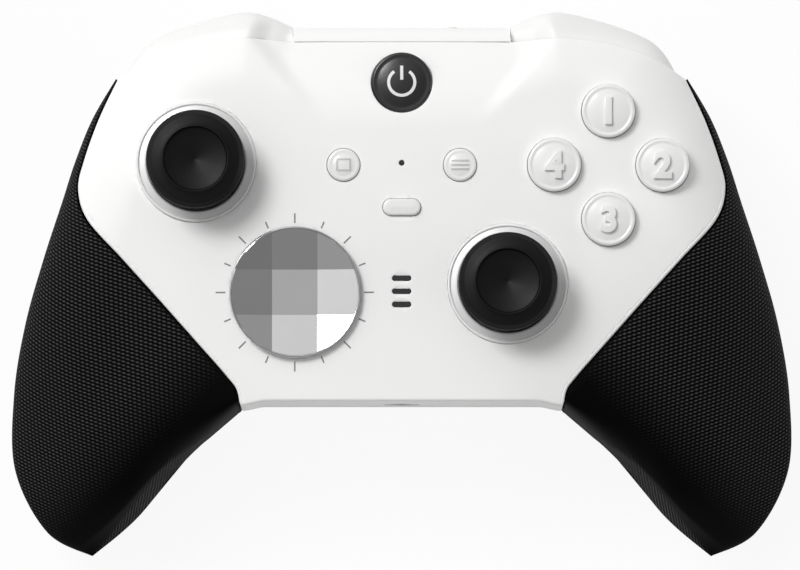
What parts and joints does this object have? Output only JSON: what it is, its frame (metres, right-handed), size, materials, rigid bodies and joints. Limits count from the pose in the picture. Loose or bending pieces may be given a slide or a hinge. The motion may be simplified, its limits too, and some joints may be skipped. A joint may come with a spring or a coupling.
{
  "type": "gamepad controller",
  "caption": "Two-handed gamepad with a pale case, dark textured grips, tilting thumbsticks, a dished direction disc, press buttons, shoulder bumpers and pull triggers.",
  "frame": {"origin": "middle of the box round the case, on the table that the grips and the plate behind rest on", "axes": "+X to the right hand, +Y towards the bumpers, +Z out of the face"},
  "size_m": [0.156, 0.108, 0.0556],
  "materials": {
    "white_plastic": "fine moulded texture, satin",
    "grip_rubber": "moulded dash texture, matte",
    "stick_rubber": "satin",
    "stick_silver": "satin metallic",
    "disc_silver": "satin",
    "button_white": "semi-gloss",
    "home_dark": "semi-gloss",
    "lens_dark": "gloss",
    "frame_grey": "matte",
    "slider_grey": "matte",
    "steel": "drawn",
    "module_black": "matte",
    "acetal_ivory": "satin",
    "motor_steel": "pressed",
    "weight_steel": "sintered",
    "board_green": "solder mask",
    "brass": "plated",
    "battery_wrap": "shrink film",
    "port_black": "satin",
    "plate_grey": "satin"
  },
  "bodies": {
    "case": {"front_shell": "white_plastic", "rear_shell": "white_plastic", "left_grip": "grip_rubber", "right_grip": "grip_rubber", "top_cover": "white_plastic", "middle_frame": "frame_grey", "left_trigger_pin": "steel", "right_trigger_pin": "steel", "left_trigger_spring": "steel", "right_trigger_spring": "steel", "left_stick_ring": "white_plastic", "right_stick_ring": "white_plastic", "left_stick_base": "module_black", "right_stick_base": "module_black", "disc_base": "module_black", "profile_lights": "lens_dark", "status_light": "lens_dark", "main_board": "board_green", "button_board": "board_green", "board_spacers": "brass", "board_screws": "steel", "shell_screws": "steel", "battery_pack": "battery_wrap", "usb_port": "steel", "headset_socket": "port_black", "dock_plate": "plate_grey", "dock_contacts": "brass", "left_motor": "motor_steel", "right_motor": "motor_steel"},
    "left_bumper": {"left_bumper": "white_plastic"},
    "right_bumper": {"right_bumper": "white_plastic"},
    "left_trigger": {"left_trigger": "white_plastic"},
    "right_trigger": {"right_trigger": "white_plastic"},
    "left_stop": {"left_stop_slider": "slider_grey"},
    "right_stop": {"right_stop_slider": "slider_grey"},
    "left_stick_click": {"left_stick_cradle": "acetal_ivory"},
    "left_stick_gimbal": {"left_stick_gimbal": "acetal_ivory"},
    "left_stick": {"left_stick_post": "stick_silver", "left_stick_cap": "stick_rubber"},
    "right_stick_click": {"right_stick_cradle": "acetal_ivory"},
    "right_stick_gimbal": {"right_stick_gimbal": "acetal_ivory"},
    "right_stick": {"right_stick_post": "stick_silver", "right_stick_cap": "stick_rubber"},
    "disc_gimbal": {"disc_gimbal": "acetal_ivory"},
    "disc": {"direction_disc": "disc_silver"},
    "north": {"button_north": "button_white"},
    "east": {"button_east": "button_white"},
    "south": {"button_south": "button_white"},
    "west": {"button_west": "button_white"},
    "view": {"view_button": "button_white"},
    "menu": {"menu_button": "button_white"},
    "profile": {"profile_button": "button_white"},
    "home": {"home_button": "home_dark"},
    "pairing": {"pairing_button": "port_black"},
    "left_weight": {"left_motor_weight": "weight_steel"},
    "right_weight": {"right_motor_weight": "weight_steel"}
  },
  "joints": [
    {"name": "left_bumper_press", "type": "hinge", "parent": "case", "child": "left_bumper", "pos_m": [-0.0183, 0.0456, 0.031], "axis": [0, 0, 1], "range_deg": [0, 1.6], "stiffness_Nm_per_rad": 1.2},
    {"name": "right_bumper_press", "type": "hinge", "parent": "case", "child": "right_bumper", "pos_m": [0.0183, 0.0456, 0.031], "axis": [0, 0, -1], "range_deg": [0, 1.6], "stiffness_Nm_per_rad": 1.2},
    {"name": "left_trigger_pull", "type": "hinge", "parent": "case", "child": "left_trigger", "pos_m": [-0.0376, 0.041, 0.0296], "axis": [-1, 0, 0], "range_deg": [0, 16], "stiffness_Nm_per_rad": 0.3},
    {"name": "right_trigger_pull", "type": "hinge", "parent": "case", "child": "right_trigger", "pos_m": [0.0376, 0.041, 0.0296], "axis": [-1, 0, 0], "range_deg": [0, 16], "stiffness_Nm_per_rad": 0.3},
    {"name": "left_stop_slide", "type": "slide", "parent": "case", "child": "left_stop", "axis": [0, 1, 0], "range_m": [0, 0.005]},
    {"name": "right_stop_slide", "type": "slide", "parent": "case", "child": "right_stop", "axis": [0, 1, 0], "range_m": [0, 0.005]},
    {"name": "left_stick_press", "type": "slide", "parent": "case", "child": "left_stick_click", "axis": [0, 0, -1], "range_m": [0, 0.0005], "stiffness_N_per_m": 4000},
    {"name": "left_stick_fore_aft", "type": "hinge", "parent": "left_stick_click", "child": "left_stick_gimbal", "pos_m": [-0.0408, 0.0233, 0.0316], "axis": [1, 0, 0], "range_deg": [-16, 16], "stiffness_Nm_per_rad": 0.06},
    {"name": "left_stick_side", "type": "hinge", "parent": "left_stick_gimbal", "child": "left_stick", "pos_m": [-0.0408, 0.0233, 0.0316], "axis": [0, 1, 0], "range_deg": [-16, 16], "stiffness_Nm_per_rad": 0.06},
    {"name": "right_stick_press", "type": "slide", "parent": "case", "child": "right_stick_click", "axis": [0, 0, -1], "range_m": [0, 0.0005], "stiffness_N_per_m": 4000},
    {"name": "right_stick_fore_aft", "type": "hinge", "parent": "right_stick_click", "child": "right_stick_gimbal", "pos_m": [0.021, -0.0009, 0.0316], "axis": [1, 0, 0], "range_deg": [-16, 16], "stiffness_Nm_per_rad": 0.06},
    {"name": "right_stick_side", "type": "hinge", "parent": "right_stick_gimbal", "child": "right_stick", "pos_m": [0.021, -0.0009, 0.0316], "axis": [0, 1, 0], "range_deg": [-16, 16], "stiffness_Nm_per_rad": 0.06},
    {"name": "disc_fore_aft", "type": "hinge", "parent": "case", "child": "disc_gimbal", "pos_m": [-0.0212, -0.0026, 0.03953], "axis": [1, 0, 0], "range_deg": [-4, 4], "stiffness_Nm_per_rad": 0.5},
    {"name": "disc_side", "type": "hinge", "parent": "disc_gimbal", "child": "disc", "pos_m": [-0.0212, -0.0026, 0.03953], "axis": [0, 1, 0], "range_deg": [-4, 4], "stiffness_Nm_per_rad": 0.5},
    {"name": "north_press", "type": "slide", "parent": "case", "child": "north", "axis": [0, 0, -1], "range_m": [0, 0.0012], "stiffness_N_per_m": 500},
    {"name": "east_press", "type": "slide", "parent": "case", "child": "east", "axis": [0, 0, -1], "range_m": [0, 0.0012], "stiffness_N_per_m": 500},
    {"name": "south_press", "type": "slide", "parent": "case", "child": "south", "axis": [0, 0, -1], "range_m": [0, 0.0012], "stiffness_N_per_m": 500},
    {"name": "west_press", "type": "slide", "parent": "case", "child": "west", "axis": [0, 0, -1], "range_m": [0, 0.0012], "stiffness_N_per_m": 500},
    {"name": "view_press", "type": "slide", "parent": "case", "child": "view", "axis": [0, 0, -1], "range_m": [0, 0.0006], "stiffness_N_per_m": 600},
    {"name": "menu_press", "type": "slide", "parent": "case", "child": "menu", "axis": [0, 0, -1], "range_m": [0, 0.0006], "stiffness_N_per_m": 600},
    {"name": "profile_press", "type": "slide", "parent": "case", "child": "profile", "axis": [0, 0, -1], "range_m": [0, 0.0006], "stiffness_N_per_m": 600},
    {"name": "home_press", "type": "slide", "parent": "case", "child": "home", "axis": [0, 0, -1], "range_m": [0, 0.0006], "stiffness_N_per_m": 600},
    {"name": "pairing_press", "type": "slide", "parent": "case", "child": "pairing", "axis": [0, -1, 0], "range_m": [0, 0.0004], "stiffness_N_per_m": 600},
    {"name": "left_weight_spin", "type": "hinge", "parent": "case", "child": "left_weight", "pos_m": [-0.06, -0.018, 0.0165], "axis": [0, 1, 0], "continuous": true},
    {"name": "right_weight_spin", "type": "hinge", "parent": "case", "child": "right_weight", "pos_m": [0.06, -0.018, 0.0165], "axis": [0, 1, 0], "continuous": true}
  ]
}
